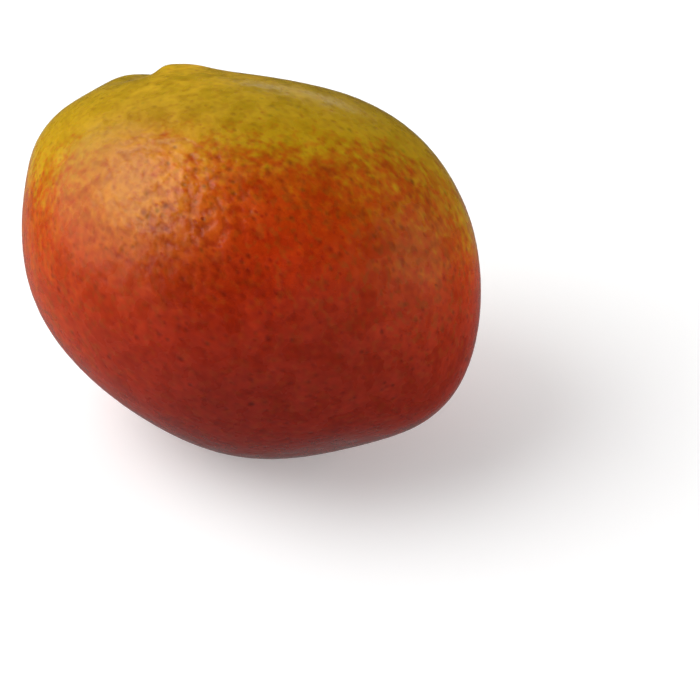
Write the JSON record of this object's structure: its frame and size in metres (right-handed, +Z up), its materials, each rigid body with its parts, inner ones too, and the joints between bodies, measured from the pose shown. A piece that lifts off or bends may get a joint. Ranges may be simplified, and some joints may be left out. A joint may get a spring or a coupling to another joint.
{
  "type": "mango",
  "caption": "Ripe round mango lying on its side, with a full shoulder, a stalk scar in a small hollow and a slight beak at the tip.",
  "frame": {"origin": "on the surface that the fruit rests on, under the middle of its bounding box", "axes": "+Z up; +X along the fruit as it lies, from the broad end toward the tip; +Y toward the side where the stalk scar is"},
  "size_m": [0.107, 0.091, 0.0868],
  "materials": {
    "skin": "satin, waxy; yellow-green at the stem and back, blushed orange-red to maroon below, with small dark lenticels"
  },
  "bodies": {
    "root": {"mango": "skin"}
  },
  "joints": []
}
